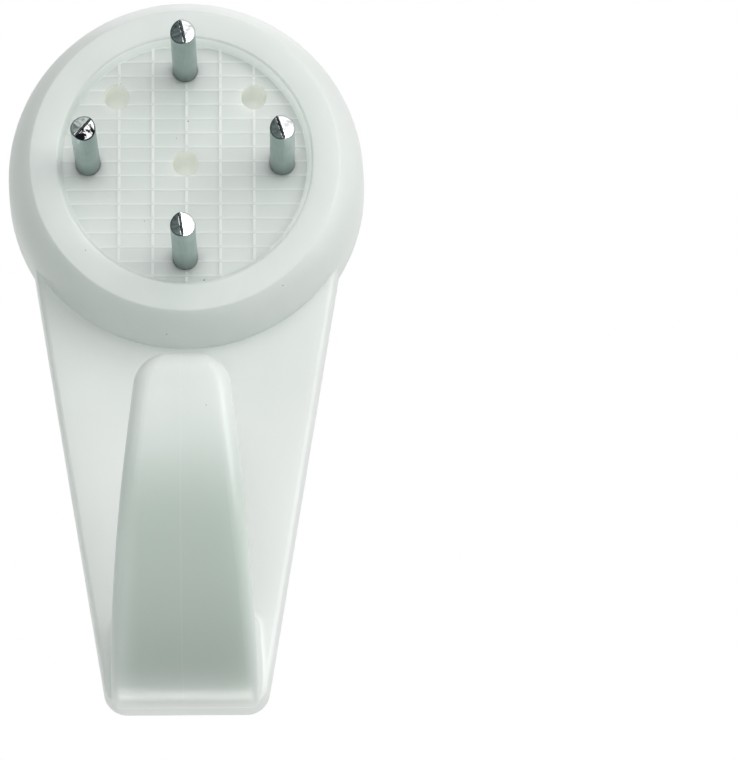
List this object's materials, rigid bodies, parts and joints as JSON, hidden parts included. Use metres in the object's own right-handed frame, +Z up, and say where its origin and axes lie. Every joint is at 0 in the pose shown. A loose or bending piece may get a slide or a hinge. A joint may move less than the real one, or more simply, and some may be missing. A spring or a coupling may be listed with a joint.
{
  "type": "picture hook",
  "caption": "Round-headed picture hook for hard walls: a white moulded plate with an upturned arm, hollow behind, held by steel pins that are hammered through the head.",
  "frame": {"origin": "middle of the four pins, on the plane of the back rim that lies on the wall", "axes": "+Y goes into the wall, +Z is up and +X is to the right as seen from the front"},
  "size_m": [0.025, 0.0203, 0.0499],
  "materials": {
    "white_plastic": "satin, slightly translucent moulded plastic",
    "pin_steel": "satin drawn wire with bright sheared ends"
  },
  "bodies": {
    "moulding": {"hook_body": "white_plastic"},
    "top_pin": {"pin_top": "pin_steel"},
    "left_pin": {"pin_left": "pin_steel"},
    "right_pin": {"pin_right": "pin_steel"},
    "bottom_pin": {"pin_bottom": "pin_steel"}
  },
  "joints": [
    {"name": "top_pin_drive", "type": "slide", "parent": "moulding", "child": "top_pin", "axis": [0, 1, 0], "range_m": [0, 0.0093]},
    {"name": "left_pin_drive", "type": "slide", "parent": "moulding", "child": "left_pin", "axis": [0, 1, 0], "range_m": [0, 0.0093]},
    {"name": "right_pin_drive", "type": "slide", "parent": "moulding", "child": "right_pin", "axis": [0, 1, 0], "range_m": [0, 0.0093]},
    {"name": "bottom_pin_drive", "type": "slide", "parent": "moulding", "child": "bottom_pin", "axis": [0, 1, 0], "range_m": [0, 0.0093]}
  ]
}
